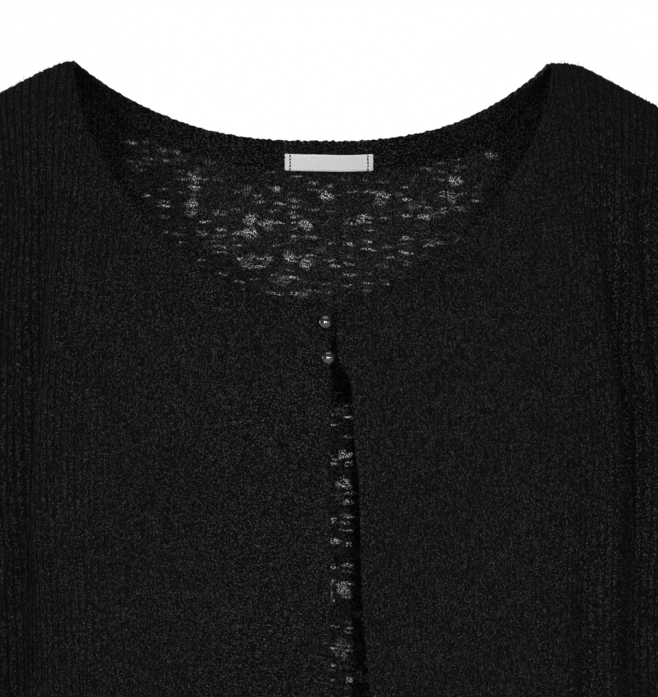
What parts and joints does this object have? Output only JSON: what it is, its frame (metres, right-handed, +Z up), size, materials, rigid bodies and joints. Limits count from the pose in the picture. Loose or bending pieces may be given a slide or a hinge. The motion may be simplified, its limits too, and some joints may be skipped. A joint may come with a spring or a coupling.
{
  "type": "cardigan",
  "caption": "Black rib-knit cardigan, worn and hollow: wide scoop neck closed by ball buttons and loops, fronts parting below, long open sleeves.",
  "frame": {"origin": "on the shoulder line between the two neck points, where the shoulders hold the garment up", "axes": "-Y is the front of the garment, +X the wearer's left, +Z up from the hem to the shoulders"},
  "size_m": [0.716, 0.2185, 0.5803],
  "materials": {
    "knit": "matte black slub rib knit",
    "label": "plain white woven label, blank",
    "button": "glossy black",
    "loop": "black cord"
  },
  "bodies": {
    "root": {"front_right": "knit", "front_left": "knit", "back": "knit", "sleeve_right": "knit", "sleeve_left": "knit", "neck_band": "knit", "label": "label", "button_upper": "button", "button_lower": "button", "loop_upper": "loop", "loop_lower": "loop"}
  },
  "joints": []
}
